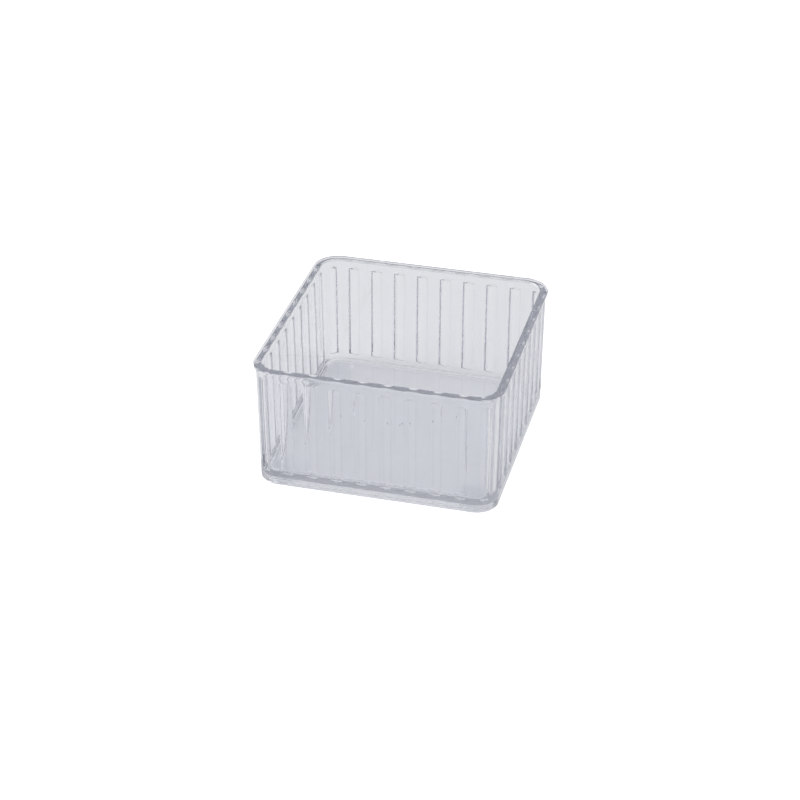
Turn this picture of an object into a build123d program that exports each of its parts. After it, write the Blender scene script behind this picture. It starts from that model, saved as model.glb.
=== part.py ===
from build123d import *
import os
from math import cos, degrees, pi, radians, sin, tan

# Clear fluted drawer organizer bin on four stick-on pads.
# Millimetres, +Z up, front towards -Y, origin under the middle of the bin on
# the plane that the pads stand on.

# Overall size, taken over the rim
bin_width = 100.0
bin_depth = 102.2
bin_height = 52.5

# Moulded wall
wall_thickness = 2.45
wall_draft = 0.7
wall_corner_top = 9.6
sole_edge_bevel = 0.6

# Rim lip, which stands proud of the fluted wall
lip_overhang = 0.85
lip_height = 1.8
lip_edge_radius = 0.5
lip_root_bevel = 0.3
mouth_edge_radius = 0.5

# Flutes: upright round-bottomed channels, with a flat ridge between neighbours
flute_count = 38
flute_radius = 3.6
flute_bite = 1.08
band_under_lip = 2.2
flute_top_runout = 1.0
base_band_height = 5.4
flute_base_runout = 0.5

# Floor and the foot ring under it
floor_thickness = 2.4
floor_fillet = 3.0
foot_ring_width = 3.2
foot_ring_drop = 2.1
foot_ring_fillet = 0.8

# Stick-on pads in the corners inside the ring, and the adhesive discs that hold them
pad_diameter = 11.0
pad_thickness = 2.4
pad_edge_bevel = 0.3
pad_to_ring_gap = 0.3
adhesive_diameter = 10.2
adhesive_thickness = 0.2

# Shallow dimple that the moulding gate leaves in the middle of the underside
gate_dimple_diameter = 6.0
gate_dimple_depth = 0.3

# How far a cutting shape runs past the face that it opens
cut_margin = 1.0
flute_cut_margin = 0.25

# Heights that follow from the sizes above
floor_underside = pad_thickness + adhesive_thickness
foot_bottom = floor_underside - foot_ring_drop
floor_top = floor_underside + floor_thickness
flute_bottom = foot_bottom + base_band_height
flute_top = bin_height - lip_height - band_under_lip
wall_middle = (foot_bottom + bin_height) / 2

# From the outside of the foot ring to a pad's middle
pad_offset = foot_ring_width + foot_ring_fillet + pad_to_ring_gap + pad_diameter / 2


def draft_step(z):
    """How far the draft has drawn the wall in at height z."""
    return (bin_height - z) * tan(radians(wall_draft))


def wall_inset(z):
    """How far the ridges stand inside the rim's outer edge at height z."""
    return lip_overhang + draft_step(z)


def wall_corner(z):
    """Corner radius of the ridge surface at height z."""
    return wall_corner_top - draft_step(z)


def section(z, inset, corner):
    """Rounded rectangle at height z, set in from the rim's outer edge."""
    return Pos(0, 0, z) * RectangleRounded(bin_width - 2 * inset, bin_depth - 2 * inset, corner)


def wall_station(walk):
    """Side number and offset, or corner number and turn, after a walk round the bin.

    The walk starts in the middle of the front and follows the ridges at mid
    height, anticlockwise from above. Side 0 is the front, 1 the right.
    """
    corner = wall_corner(wall_middle)
    half_x = bin_width / 2 - wall_inset(wall_middle) - corner
    half_y = bin_depth / 2 - wall_inset(wall_middle) - corner
    bend = corner * pi / 2
    remaining = walk + half_x
    for side in range(4):
        half = half_x if side % 2 == 0 else half_y
        if remaining < 2 * half:
            return side, remaining - half, None
        remaining -= 2 * half
        if remaining < bend:
            return side, None, degrees(remaining / corner)
        remaining -= bend
    return 0, remaining - half_x, None


def walk_length():
    """Way round the bin along the ridges at mid height."""
    corner = wall_corner(wall_middle)
    straight = 2 * (bin_width + bin_depth) - 8 * wall_inset(wall_middle) - 8 * corner
    return straight + 2 * pi * corner


def wall_point(walk, z):
    """Point on the ridge surface at height z, and its outward direction."""
    side, offset, turn = wall_station(walk)
    reach_x = bin_width / 2 - wall_inset(z)
    reach_y = bin_depth / 2 - wall_inset(z)
    corner = wall_corner(z)
    if turn is None:
        facing = radians(90 * side - 90)
        reach = reach_y if side % 2 == 0 else reach_x
        outward = Vector(cos(facing), sin(facing), 0)
        along = Vector(-sin(facing), cos(facing), 0)
        return outward * reach + along * offset + Vector(0, 0, z), outward
    facing = radians(90 * side - 90 + turn)
    outward = Vector(cos(facing), sin(facing), 0)
    sign_x = 1 if side in (0, 1) else -1
    sign_y = 1 if side in (1, 2) else -1
    centre = Vector(sign_x * (reach_x - corner), sign_y * (reach_y - corner), z)
    return centre + outward * corner, outward


def flute_tool(length):
    """Round bar that cuts one flute, standing on the origin, with run-out cones."""
    foot = flute_base_runout
    head = flute_top_runout
    waist = flute_radius - flute_bite
    past = flute_cut_margin
    profile = Polyline(
        (0, -foot * past),
        (waist - flute_bite * past, -foot * past),
        (flute_radius, foot),
        (flute_radius, length - head),
        (waist - flute_bite * past, length + head * past),
        (0, length + head * past),
        close=True,
    )
    return revolve(Plane.XZ * make_face(profile), Axis.Z)


def flute_cutters():
    """One bar per flute, leaning with the draft, evenly spaced round the wall."""
    pitch = walk_length() / flute_count
    cutters = []
    for number in range(flute_count):
        walk = (number + 0.5) * pitch
        bottom, outward = wall_point(walk, flute_bottom)
        top, _ = wall_point(walk, flute_top)
        axis_shift = outward * (flute_radius - flute_bite)
        lean = top - bottom
        place = Plane(origin=bottom + axis_shift, x_dir=outward, z_dir=lean)
        cutters.append(place * flute_tool(lean.length))
    return cutters


def outer_shell():
    """Drafted outside without its flutes, and the rim lip."""
    head = section(bin_height, wall_inset(bin_height), wall_corner(bin_height))
    wall = extrude(head, foot_bottom - bin_height, taper=wall_draft)
    wall = chamfer(wall.edges().group_by(Axis.Z)[0], sole_edge_bevel)
    lip_corner = wall_corner(bin_height) + lip_overhang
    lip = extrude(section(bin_height - lip_height, 0, lip_corner), lip_height)
    lip = fillet(lip.edges().group_by(Axis.Z)[-1], lip_edge_radius)
    lip = chamfer(lip.edges().group_by(Axis.Z)[0], lip_root_bevel)
    return wall + lip


def cavity():
    """Inside of the bin, parallel to the outside, with a rounded floor edge."""
    inset = wall_inset(bin_height) + wall_thickness
    mouth = section(bin_height, inset, wall_corner(bin_height) - wall_thickness)
    inside = extrude(mouth, floor_top - bin_height, taper=wall_draft)
    return fillet(inside.edges().group_by(Axis.Z)[0], floor_fillet)


def pad_places():
    """Middles of the four pads, named by corner."""
    x = bin_width / 2 - wall_inset(foot_bottom) - pad_offset
    y = bin_depth / 2 - wall_inset(foot_bottom) - pad_offset
    return {
        "front_left": (-x, -y),
        "front_right": (x, -y),
        "rear_left": (-x, y),
        "rear_right": (x, y),
    }


def foot_recess():
    """Space inside the foot ring, under the floor."""
    inset = wall_inset(foot_bottom) + foot_ring_width
    corner = wall_corner(foot_bottom) - foot_ring_width
    outline = section(foot_bottom - cut_margin, inset, corner)
    hollow = extrude(outline, foot_ring_drop + cut_margin)
    return fillet(hollow.edges().group_by(Axis.Z)[-1], foot_ring_fillet)


def gate_dimple():
    """Space of the gate's mark in the underside."""
    dimple = Cylinder(gate_dimple_diameter / 2, gate_dimple_depth + cut_margin)
    return Pos(0, 0, floor_underside + (gate_dimple_depth - cut_margin) / 2) * dimple


def bin_body():
    """The one-piece moulding: fluted wall, rim lip, floor and foot ring."""
    body = outer_shell() - cavity()
    rim_top = body.faces().sort_by(Axis.Z)[-1]
    body = fillet(rim_top.inner_wires()[0].edges(), mouth_edge_radius)
    body -= foot_recess()
    body -= gate_dimple()
    body -= flute_cutters()
    return body


def foot_pad():
    """Soft round pad with a bevelled sole edge, standing on the origin."""
    pad = Cylinder(pad_diameter / 2, pad_thickness, align=(Align.CENTER, Align.CENTER, Align.MIN))
    return chamfer(pad.edges().group_by(Axis.Z)[0], pad_edge_bevel)


def pad_adhesive():
    """Thin double-sided disc between a pad and the underside of the floor."""
    disc = Cylinder(adhesive_diameter / 2, adhesive_thickness,
                    align=(Align.CENTER, Align.CENTER, Align.MIN))
    return Pos(0, 0, pad_thickness) * disc


def build():
    """All pieces by node name."""
    pieces = {"bin_body": bin_body()}
    for corner, (x, y) in pad_places().items():
        pieces["foot_pad_" + corner] = Pos(x, y, 0) * foot_pad()
        pieces["pad_adhesive_" + corner] = Pos(x, y, 0) * pad_adhesive()
    return pieces


os.makedirs("parts", exist_ok=True)
for name, piece in build().items():
    export_step(piece, "parts/" + name + ".step")
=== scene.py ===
import math

import bmesh
import bpy
from mathutils import Matrix, Vector


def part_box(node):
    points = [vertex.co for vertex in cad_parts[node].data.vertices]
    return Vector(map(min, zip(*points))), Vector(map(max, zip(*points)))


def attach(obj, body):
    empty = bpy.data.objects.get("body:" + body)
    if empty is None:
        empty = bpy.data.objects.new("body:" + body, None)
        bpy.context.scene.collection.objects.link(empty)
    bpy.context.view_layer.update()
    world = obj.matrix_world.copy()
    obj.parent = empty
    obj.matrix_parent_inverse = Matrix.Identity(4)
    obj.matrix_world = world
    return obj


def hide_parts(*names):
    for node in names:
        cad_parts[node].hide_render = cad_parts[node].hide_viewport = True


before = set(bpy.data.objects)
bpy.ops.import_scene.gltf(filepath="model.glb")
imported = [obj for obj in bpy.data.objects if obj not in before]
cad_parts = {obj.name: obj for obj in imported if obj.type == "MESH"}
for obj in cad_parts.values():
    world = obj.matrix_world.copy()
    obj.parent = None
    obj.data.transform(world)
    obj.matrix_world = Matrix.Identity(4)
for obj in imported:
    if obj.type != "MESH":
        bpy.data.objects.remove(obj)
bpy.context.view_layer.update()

# Clear fluted organizer bin, in metres, in the frame's own axes. The moulding is
# rebuilt as one fine mesh with rounded edges, because clear plastic shows every facet.

MM = 0.001

# Outline over the rim, and heights, from the frame
bin_low, bin_high = (Vector(corner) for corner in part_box("bin_body"))
pad_low, pad_high = (Vector(corner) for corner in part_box("foot_pad_front_left"))
half_width = (bin_high.x - bin_low.x) / 2
half_depth = (bin_high.y - bin_low.y) / 2
rim_z = bin_high.z
foot_z = bin_low.z

# Wall and rim
wall_thickness = 2.45 * MM
wall_draft = math.tan(math.radians(0.7))
rim_corner = 10.45 * MM
lip_overhang = 0.85 * MM
lip_height = 1.8 * MM
lip_top_round = 0.5 * MM
lip_base_round = 0.3 * MM
lip_root_round = 0.2 * MM
mouth_round = 0.5 * MM

# Flutes
flute_count = 38
flute_radius = 3.6 * MM
flute_bite = 1.08 * MM
flute_waist = flute_radius - flute_bite
flute_edge_round = 0.12 * MM
flute_base_z = foot_z + 5.4 * MM
flute_top_z = rim_z - lip_height - 2.2 * MM
flute_base_runout = 0.5 * MM
flute_top_runout = 1.0 * MM

# Air left between faces that touch, so that light meets them one at a time
hair = 0.01 * MM

# Pads and the film that holds each one
pad_radius = (pad_high.x - pad_low.x) / 2
pad_edge_round = 0.45 * MM
pad_brim_round = 0.12 * MM
film_thickness = 0.2 * MM
PAD_NAMES = ("front_left", "front_right", "rear_left", "rear_right")

# Floor and foot ring
floor_under_z = pad_high.z + film_thickness + hair
floor_top_z = floor_under_z + 2.4 * MM
floor_fillet = 3.0 * MM
sole_round = 0.6 * MM
ring_width = 3.2 * MM
ring_fillet = 0.8 * MM
ring_edge_round = 0.2 * MM

# Mark of the moulding gate in the middle of the underside
gate_dimple_radius = 3.0 * MM
gate_dimple_depth = 0.3 * MM
gate_dimple_slope = 1.6 * MM

# Heights over which the underside and its gate mark are matt
matt_margin = 0.05 * MM
matt_z = floor_under_z + gate_dimple_depth / 2
matt_reach = gate_dimple_depth / 2 + matt_margin

# How finely the meshes are laid out
flute_steps = 16
ridge_steps = 5
wall_steps = 8
edge_search_steps = 30
edge_offsets = (0.06 * MM, 0.13 * MM, 0.22 * MM)
# Shares of a flute's run-out, from just before its tip to its full depth
runout_shares = (-0.2, -0.08, 0.0, 0.08, 0.18, 0.32, 0.5, 0.7, 0.88, 1.0)
ring_fillet_steps = 6
ring_edge_steps = 4
sole_steps = 6
lip_root_steps = 4
lip_base_steps = 5
lip_top_steps = 7
mouth_steps = 7
floor_fillet_steps = 10
pad_edge_steps = 8
pad_brim_steps = 4
gate_steps = 12
turn_segments = 96
smooth_angle = math.radians(30)

# Flat rims beside rounded edges, so that smooth shading ends there
under_flat = 0.4 * MM
floor_flat = 0.5 * MM
pad_flat = 0.3 * MM

# Clear plastic. Light trapped in the walls runs far through it and comes out darker
plastic_tint = (0.982, 0.986, 1.0, 1)
plastic_ior = 1.49
plastic_absorption = (0.0, 0.04, 0.16, 1)
plastic_density = 11.0
plastic_polish = (0.012, 0.035)
plastic_polish_scale = 220
plastic_wave_scale = 60
plastic_wave_strength = 0.1
plastic_wave_height = 0.05 * MM
underside_roughness = 0.4

# Soft clear rubber of the pads
rubber_tint = (0.95, 0.955, 0.965, 1)
rubber_ior = 1.25
rubber_haze = (0.05, 0.12)
rubber_haze_scale = 900
rubber_grain_scale = 1500
rubber_grain_height = 0.03 * MM

# Double-sided film
film_tint = (0.96, 0.965, 0.97, 1)
film_ior = 1.12
film_haze = (0.03, 0.12)
film_haze_scale = 1200
film_grain_scale = 2000
film_grain_height = 0.02 * MM
grain_strength = 0.3

# Floor, surround and lamp
floor_reach = 3.0
floor_colour = (0.8, 0.8, 0.8, 1)
floor_roughness = 0.9
floor_specular = 0.2
floor_lift_to_camera = 0.6
floor_lift_through = 0.09
white = (1, 1, 1, 1)
horizon_position = 0.05
horizon_colour = (0.36, 0.363, 0.378, 1)
zenith_position = 0.75
zenith_colour = (0.83, 0.835, 0.86, 1)
key_place = (-0.75, -0.35, 0.55)
key_size = 0.9
key_watts = 3.0
light_bounces = 32

# Camera at the photograph's angle, aimed near the middle of the bin
camera_turn = math.radians(14.597)
camera_rise = math.radians(31.084)
camera_distance = 0.88467
camera_aside = -0.00194
camera_lift = -0.00825
camera_lens = 97.935


def wall_inset(z):
    """How far the ridges stand inside the rim's outer edge at height z."""
    return lip_overhang + (rim_z - z) * wall_draft


def inner_inset(z):
    """How far the inner wall stands inside the rim's outer edge at height z."""
    return wall_inset(z) + wall_thickness


# Walk round the bin, anticlockwise from the middle of the front

straight_x = 2 * (half_width - rim_corner)
straight_y = 2 * (half_depth - rim_corner)
walk_corner = rim_corner - wall_inset((foot_z + rim_z) / 2)
walk_bend = walk_corner * math.pi / 2
walk_total = 2 * straight_x + 2 * straight_y + 4 * walk_bend


def rim_station(walk):
    """Point of the rim's outer edge and its outward direction after a walk."""
    remaining = (walk + straight_x / 2) % walk_total
    for side in range(4):
        straight = straight_x if side % 2 == 0 else straight_y
        reach = half_depth if side % 2 == 0 else half_width
        facing = math.radians(90 * side - 90)
        outward = Vector((math.cos(facing), math.sin(facing)))
        along = Vector((-outward.y, outward.x))
        if remaining < straight:
            return outward * reach + along * (remaining - straight / 2), outward
        remaining -= straight
        if remaining < walk_bend:
            centre = outward * (reach - rim_corner) + along * straight / 2
            turn = facing + remaining / walk_corner
            outward = Vector((math.cos(turn), math.sin(turn)))
            return centre + outward * rim_corner, outward
        remaining -= walk_bend
    return rim_station(0)


def flute_bar(z):
    """Radius at height z of the round bar that shapes a flute."""
    low = (z - flute_base_z) / flute_base_runout
    high = (flute_top_z - z) / flute_top_runout
    return flute_waist + flute_bite * min(low, high, 1)


def raw_depth(walk, middle, z):
    """Depth of the flute centred at middle, under a wall point; negative beyond its edge."""
    inset = wall_inset(z)
    point, outward = rim_station(walk)
    heart, heart_outward = rim_station(middle)
    bar_axis = heart + heart_outward * (flute_waist - inset)
    gap = point - outward * inset - bar_axis
    across = gap.dot(outward)
    under = across ** 2 - gap.length_squared + flute_bar(z) ** 2
    return across + math.sqrt(under) if under > 0 else -flute_bite


def flute_depth(walk, middle, z):
    """Depth with the flute's edges rounded."""
    raw = raw_depth(walk, middle, z)
    blend = max(flute_edge_round - abs(raw), 0) ** 2 / (4 * flute_edge_round)
    return max(raw, 0) + blend


def flute_edge(middle, side):
    """Walk at which a flute's edge lies at mid height, on side -1 or 1."""
    z = (flute_base_z + flute_top_z) / 2
    near, far = 0.0, flute_radius
    for _ in range(edge_search_steps):
        trial = (near + far) / 2
        if raw_depth(middle + side * trial, middle, z) > 0:
            near = trial
        else:
            far = trial
    return middle + side * near


def stations():
    """(walk, middle of the nearest flute) round the bin, close together at the flute edges."""
    pitch = walk_total / flute_count
    rows = []
    for number in range(flute_count):
        middle = (number + 0.5) * pitch
        left, right = flute_edge(middle, -1), flute_edge(middle, 1)
        walks = [left - offset for offset in reversed(edge_offsets)]
        for step in range(flute_steps + 1):
            share = (1 - math.cos(math.pi * step / flute_steps)) / 2
            walks.append(left + (right - left) * share)
        walks.insert(len(edge_offsets) + 1, left + edge_offsets[0] / 2)
        walks.insert(len(walks) - 1, right - edge_offsets[0] / 2)
        walks.extend(right + offset for offset in edge_offsets)
        rows.extend((walk, middle) for walk in sorted(walks))
        following = flute_edge(middle + pitch, -1) - edge_offsets[-1]
        ridge = following - walks[-1]
        for step in range(1, ridge_steps):
            rows.append((right + edge_offsets[-1] + ridge * step / ridge_steps, middle))
    return rows


def round_off(centre_z, centre_inset, radius, start, end, steps):
    """(z, inset) along an arc; 0 degrees points outward and 90 up."""
    rows = []
    for step in range(steps + 1):
        angle = math.radians(start + (end - start) * step / steps)
        rows.append((centre_z + radius * math.sin(angle), centre_inset - radius * math.cos(angle)))
    return rows


def profile():
    """(z, inset, fluted) from the middle of the underside, over the rim, to the floor."""
    ring_inset = wall_inset(foot_z) + ring_width
    lip_z = rim_z - lip_height
    rows = [(floor_under_z, ring_inset + ring_fillet + under_flat)]
    inner = ring_inset + ring_fillet
    rows += round_off(floor_under_z - ring_fillet, inner, ring_fillet, 90, 0, ring_fillet_steps)
    edge_z = foot_z + ring_edge_round
    inner = ring_inset - ring_edge_round
    rows += round_off(edge_z, inner, ring_edge_round, 180, 270, ring_edge_steps)
    sole_z = foot_z + sole_round
    rows += round_off(sole_z, wall_inset(sole_z) + sole_round, sole_round, 270, 360, sole_steps)
    fluted_from = len(rows)
    low_end, high_end = flute_base_z, flute_top_z
    rows += [(low_end + share * flute_base_runout, None) for share in runout_shares]
    low_full = low_end + flute_base_runout
    high_full = high_end - flute_top_runout
    for step in range(1, wall_steps):
        rows.append((low_full + (high_full - low_full) * step / wall_steps, None))
    rows += [(high_end - share * flute_top_runout, None) for share in reversed(runout_shares)]
    fluted_to = len(rows)
    root = lip_root_round
    rows += round_off(lip_z - root, wall_inset(lip_z) - root, root, 180, 90, lip_root_steps)
    base = lip_base_round
    rows += round_off(lip_z + base, base, base, 270, 360, lip_base_steps)
    rows += round_off(rim_z - lip_top_round, lip_top_round, lip_top_round, 0, 90, lip_top_steps)
    inner = inner_inset(rim_z)
    rows += round_off(rim_z - mouth_round, inner - mouth_round, mouth_round, 90, 180, mouth_steps)
    fillet_z = floor_top_z + floor_fillet
    rows.append(((rim_z + fillet_z) / 2, inner_inset((rim_z + fillet_z) / 2)))
    inner = inner_inset(fillet_z) + floor_fillet
    rows += round_off(fillet_z, inner, floor_fillet, 0, -90, floor_fillet_steps)
    rows.append((floor_top_z, inner + floor_flat))
    done = []
    for number, (z, inset) in enumerate(rows):
        fluted = fluted_from <= number < fluted_to
        done.append((z, wall_inset(z) if inset is None else inset, fluted))
    return done


def moulding_mesh():
    """The moulding without the gate's mark, as one closed mesh."""
    round_it = stations()
    verts = []
    for z, inset, fluted in profile():
        for walk, middle in round_it:
            point, outward = rim_station(walk)
            depth = flute_depth(walk, middle, z) if fluted else 0
            place = point - outward * (inset + depth)
            verts.append((place.x, place.y, z))
    count = len(round_it)
    loops = len(verts) // count
    faces = []
    for loop in range(loops - 1):
        for number in range(count):
            following = (number + 1) % count
            low = loop * count
            high = low + count
            faces.append((low + number, low + following, high + following, high + number))
    faces.append(tuple(reversed(range(count))))
    faces.append(tuple(range((loops - 1) * count, loops * count)))
    mesh = bpy.data.meshes.new("bin_moulding")
    mesh.from_pydata(verts, [], faces)
    mesh.polygons.foreach_set("use_smooth", [len(face) == 4 for face in faces])
    return mesh


def new_object(name, mesh):
    """Puts a mesh in the scene under a name."""
    made = bpy.data.objects.new(name, mesh)
    bpy.context.collection.objects.link(made)
    return made


def turned(name, outline):
    """Mesh turned about Z from (radius, z) points that start and end on the axis."""
    work = bmesh.new()
    rings = []
    for radius, z in outline:
        if radius == 0:
            rings.append([work.verts.new((0, 0, z))])
            continue
        ring = []
        for number in range(turn_segments):
            angle = 2 * math.pi * number / turn_segments
            ring.append(work.verts.new((radius * math.cos(angle), radius * math.sin(angle), z)))
        rings.append(ring)
    for low, high in zip(rings, rings[1:]):
        for number in range(turn_segments):
            following = (number + 1) % turn_segments
            if len(low) == 1:
                work.faces.new((low[0], high[following], high[number]))
            elif len(high) == 1:
                work.faces.new((low[number], low[following], high[0]))
            else:
                work.faces.new((low[number], low[following], high[following], high[number]))
    bmesh.ops.recalc_face_normals(work, faces=work.faces)
    mesh = bpy.data.meshes.new(name)
    work.to_mesh(mesh)
    work.free()
    mesh.polygons.foreach_set("use_smooth", [True] * len(mesh.polygons))
    return mesh


def cut_away(target, mesh):
    """Cuts a closed mesh out of a mesh object, and keeps only the result."""
    tool = new_object("tool", mesh)
    step = target.modifiers.new("step", "BOOLEAN")
    step.object = tool
    step.operation = "DIFFERENCE"
    step.solver = "EXACT"
    graph = bpy.context.evaluated_depsgraph_get()
    result = bpy.data.meshes.new_from_object(target.evaluated_get(graph))
    target.modifiers.clear()
    target.data = result
    bpy.data.objects.remove(tool)


def moved(mesh, x, y):
    """The mesh, moved sideways."""
    mesh.transform(Matrix.Translation((x, y, 0)))
    return mesh


def pad_middle(name):
    """Where a pad stands, from the frame."""
    low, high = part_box("foot_pad_" + name)
    return (low[0] + high[0]) / 2, (low[1] + high[1]) / 2


def gate_dimple():
    """Solid that cuts the gate's mark, with a soft slope round it."""
    outline = [(0, foot_z), (gate_dimple_radius, foot_z)]
    for step in range(gate_steps + 1):
        rise = (1 - math.cos(math.pi * step / gate_steps)) / 2
        radius = gate_dimple_radius - gate_dimple_slope * step / gate_steps
        outline.append((radius, floor_under_z + gate_dimple_depth * rise))
    outline.append((0, floor_under_z + gate_dimple_depth))
    return turned("gate_dimple", outline)


def bin_moulding():
    """The moulding with its gate mark, standing for the CAD body."""
    body = new_object("bin_moulding", moulding_mesh())
    cut_away(body, gate_dimple())
    body.data.set_sharp_from_angle(angle=smooth_angle)
    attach(body, "root")
    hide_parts("bin_body")
    return body


def foot_pad(name):
    """A soft pad with rounded edges, standing for the CAD pad."""
    edge = pad_edge_round
    top = pad_high.z - hair
    outline = [(0, 0), (pad_radius - edge - pad_flat, 0)]
    for step in range(pad_edge_steps + 1):
        angle = math.radians(-90 + 90 * step / pad_edge_steps)
        outline.append((pad_radius - edge + edge * math.cos(angle), edge + edge * math.sin(angle)))
    brim = pad_brim_round
    for step in range(pad_brim_steps + 1):
        angle = math.radians(90 * step / pad_brim_steps)
        outline.append((pad_radius - brim + brim * math.cos(angle), top - brim + brim * math.sin(angle)))
    outline += [(pad_radius - brim - pad_flat, top), (0, top)]
    x, y = pad_middle(name)
    pad = new_object("pad_" + name, moved(turned("pad", outline), x, y))
    pad.data.set_sharp_from_angle(angle=smooth_angle)
    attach(pad, "root")
    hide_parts("foot_pad_" + name)
    return pad


# Materials

def new_material(name):
    """A node material, its node tree and its shader."""
    material = bpy.data.materials.new(name)
    material.use_nodes = True
    tree = material.node_tree
    return material, tree, tree.nodes["Principled BSDF"]


def noise(tree, scale, detail, roughness=0.5):
    """Noise fixed to the object, with scale in steps per metre."""
    place = tree.nodes.new("ShaderNodeTexCoord")
    made = tree.nodes.new("ShaderNodeTexNoise")
    made.inputs["Scale"].default_value = scale
    made.inputs["Detail"].default_value = detail
    made.inputs["Roughness"].default_value = roughness
    tree.links.new(place.outputs["Object"], made.inputs["Vector"])
    return made.outputs["Fac"]


def spread(tree, value, low, high, from_low=0.3, from_high=0.7):
    """Maps a noise value to a range."""
    made = tree.nodes.new("ShaderNodeMapRange")
    made.inputs["From Min"].default_value = from_low
    made.inputs["From Max"].default_value = from_high
    made.inputs["To Min"].default_value = low
    made.inputs["To Max"].default_value = high
    tree.links.new(value, made.inputs["Value"])
    return made.outputs["Result"]


def bump(tree, shader, height, strength, distance):
    """Surface relief from a value."""
    made = tree.nodes.new("ShaderNodeBump")
    made.inputs["Strength"].default_value = strength
    made.inputs["Distance"].default_value = distance
    tree.links.new(height, made.inputs["Height"])
    tree.links.new(made.outputs["Normal"], shader.inputs["Normal"])


def near_height(tree, z, reach):
    """1 on the parts of the object that lie near height z, and 0 elsewhere."""
    place = tree.nodes.new("ShaderNodeTexCoord")
    split = tree.nodes.new("ShaderNodeSeparateXYZ")
    tree.links.new(place.outputs["Object"], split.inputs[0])
    near = tree.nodes.new("ShaderNodeMath")
    near.operation = "COMPARE"
    near.inputs[1].default_value = z
    near.inputs[2].default_value = reach
    tree.links.new(split.outputs["Z"], near.inputs[0])
    return near.outputs[0]


def clear_plastic():
    """Polished clear moulding, faintly blue, with slight flow waviness and a matt underside."""
    material, tree, shader = new_material("clear_plastic")
    shader.inputs["Base Color"].default_value = plastic_tint
    shader.inputs["IOR"].default_value = plastic_ior
    shader.inputs["Transmission Weight"].default_value = 1.0
    polish = spread(tree, noise(tree, plastic_polish_scale, 4), *plastic_polish)
    matt = scaled(tree, near_height(tree, matt_z, matt_reach), underside_roughness)
    tree.links.new(joined(tree, "ADD", polish, matt), shader.inputs["Roughness"])
    wave = noise(tree, plastic_wave_scale, 1)
    bump(tree, shader, wave, plastic_wave_strength, plastic_wave_height)
    depth = tree.nodes.new("ShaderNodeVolumeAbsorption")
    depth.inputs["Color"].default_value = plastic_absorption
    depth.inputs["Density"].default_value = plastic_density
    tree.links.new(depth.outputs["Volume"], tree.nodes["Material Output"].inputs["Volume"])
    return material


def pad_rubber():
    """Soft clear bumper rubber with a matt skin."""
    material, tree, shader = new_material("pad_rubber")
    shader.inputs["Base Color"].default_value = rubber_tint
    shader.inputs["IOR"].default_value = rubber_ior
    shader.inputs["Transmission Weight"].default_value = 1.0
    haze = spread(tree, noise(tree, rubber_haze_scale, 5), *rubber_haze)
    tree.links.new(haze, shader.inputs["Roughness"])
    grain = noise(tree, rubber_grain_scale, 3)
    bump(tree, shader, grain, grain_strength, rubber_grain_height)
    return material


def adhesive_film():
    """Clear double-sided film with a fine, uneven haze."""
    material, tree, shader = new_material("adhesive_film")
    shader.inputs["Base Color"].default_value = film_tint
    shader.inputs["IOR"].default_value = film_ior
    shader.inputs["Transmission Weight"].default_value = 1.0
    haze = spread(tree, noise(tree, film_haze_scale, 4), *film_haze)
    tree.links.new(haze, shader.inputs["Roughness"])
    grain = noise(tree, film_grain_scale, 2)
    bump(tree, shader, grain, grain_strength, film_grain_height)
    return material


def dress(piece, material):
    """Gives a piece one material."""
    piece.data.materials.clear()
    piece.data.materials.append(material)


# Stage, light and camera

def any_ray(tree, names):
    """1 for rays of the named kinds, and 0 for others."""
    path = tree.nodes.new("ShaderNodeLightPath")
    value = path.outputs[names[0]]
    for name in names[1:]:
        either = tree.nodes.new("ShaderNodeMath")
        either.operation = "MAXIMUM"
        tree.links.new(value, either.inputs[0])
        tree.links.new(path.outputs[name], either.inputs[1])
        value = either.outputs[0]
    return value


def joined(tree, operation, first, second):
    """Two values joined by a math node."""
    made = tree.nodes.new("ShaderNodeMath")
    made.operation = operation
    tree.links.new(first, made.inputs[0])
    tree.links.new(second, made.inputs[1])
    return made.outputs[0]


def scaled(tree, value, factor):
    """A value times a factor."""
    made = tree.nodes.new("ShaderNodeMath")
    made.operation = "MULTIPLY"
    made.inputs[1].default_value = factor
    tree.links.new(value, made.inputs[0])
    return made.outputs[0]


def floor():
    """White floor that keeps a soft shadow, with a lift that makes it the white background."""
    reach = floor_reach
    mesh = bpy.data.meshes.new("floor")
    outline = [(-reach, -reach), (reach, -reach), (reach, reach), (-reach, reach)]
    corners = [(x, y, -hair) for x, y in outline]
    mesh.from_pydata(corners, [], [(0, 1, 2, 3)])
    made = new_object("floor", mesh)
    material, tree, shader = new_material("floor_white")
    shader.inputs["Base Color"].default_value = floor_colour
    shader.inputs["Roughness"].default_value = floor_roughness
    shader.inputs["Specular IOR Level"].default_value = floor_specular
    shader.inputs["Emission Color"].default_value = white
    direct = scaled(tree, any_ray(tree, ["Is Camera Ray"]), floor_lift_to_camera)
    indirect = any_ray(tree, ["Is Glossy Ray", "Is Transmission Ray"])
    through = scaled(tree, indirect, floor_lift_through)
    lift = joined(tree, "MAXIMUM", direct, through)
    tree.links.new(lift, shader.inputs["Emission Strength"])
    dress(made, material)
    return made


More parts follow.
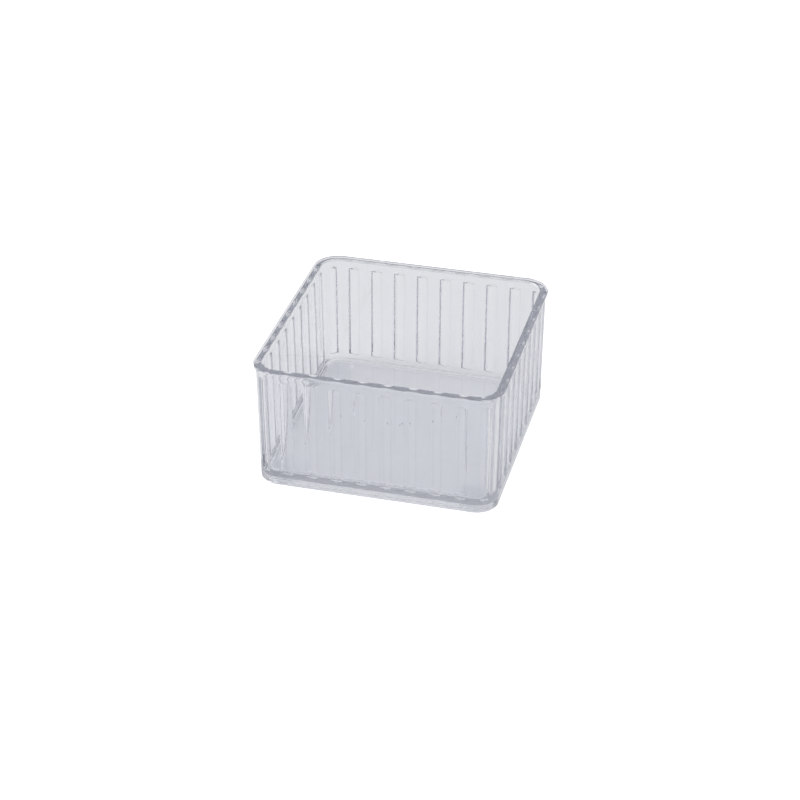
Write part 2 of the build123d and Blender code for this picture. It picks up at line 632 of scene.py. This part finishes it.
def studio():
    """Surround that brightens from the horizon to overhead, and is white to the camera."""
    world = bpy.data.worlds.new("studio")
    bpy.context.scene.world = world
    world.use_nodes = True
    tree = world.node_tree
    shade = tree.nodes["Background"]
    place = tree.nodes.new("ShaderNodeTexCoord")
    split = tree.nodes.new("ShaderNodeSeparateXYZ")
    ramp = tree.nodes.new("ShaderNodeValToRGB")
    tree.links.new(place.outputs["Generated"], split.inputs[0])
    tree.links.new(split.outputs["Z"], ramp.inputs[0])
    ramp.color_ramp.elements[0].position = horizon_position
    ramp.color_ramp.elements[0].color = horizon_colour
    ramp.color_ramp.elements[1].position = zenith_position
    ramp.color_ramp.elements[1].color = zenith_colour
    path = tree.nodes.new("ShaderNodeLightPath")
    mix = tree.nodes.new("ShaderNodeMix")
    mix.data_type = "RGBA"
    mix.inputs["B"].default_value = white
    tree.links.new(path.outputs["Is Camera Ray"], mix.inputs["Factor"])
    tree.links.new(ramp.outputs[0], mix.inputs["A"])
    tree.links.new(mix.outputs["Result"], shade.inputs[0])


def key_light():
    """Large soft lamp from the left, facing the bin."""
    lamp = bpy.data.lights.new("softbox_left", "AREA")
    lamp.shape = "RECTANGLE"
    lamp.size = key_size
    lamp.size_y = key_size
    lamp.energy = key_watts
    made = new_object("softbox_left", lamp)
    made.location = key_place
    made.rotation_euler = (-Vector(key_place)).to_track_quat("-Z", "Y").to_euler()


def camera():
    """Camera at the photograph's angle."""
    turn = camera_turn
    rise = camera_rise
    ahead = math.cos(rise)
    back = Vector((math.sin(turn) * ahead, -math.cos(turn) * ahead, math.sin(rise)))
    right = Vector((math.cos(turn), math.sin(turn), 0))
    up = back.cross(right)
    data = bpy.data.cameras.new("camera")
    data.lens = camera_lens
    made = new_object("camera", data)
    middle = Vector((0, 0, (foot_z + rim_z) / 2))
    matrix = Matrix((right, up, back)).transposed().to_4x4()
    matrix.translation = middle + back * camera_distance + right * camera_aside + up * camera_lift
    made.matrix_world = matrix
    bpy.context.scene.camera = made


def build():
    """The whole scene."""
    dress(bin_moulding(), clear_plastic())
    rubber = pad_rubber()
    film = adhesive_film()
    for name in PAD_NAMES:
        dress(foot_pad(name), rubber)
        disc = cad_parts["pad_adhesive_" + name]
        for slot in disc.material_slots:
            slot.material = film
    floor()
    studio()
    key_light()
    camera()
    settings = bpy.context.scene
    settings.view_settings.view_transform = "Standard"
    # At its default this filter takes away much of the light under clear walls
    settings.cycles.blur_glossy = 0.0
    settings.cycles.max_bounces = light_bounces
    settings.cycles.glossy_bounces = light_bounces
    settings.cycles.transmission_bounces = light_bounces


build()
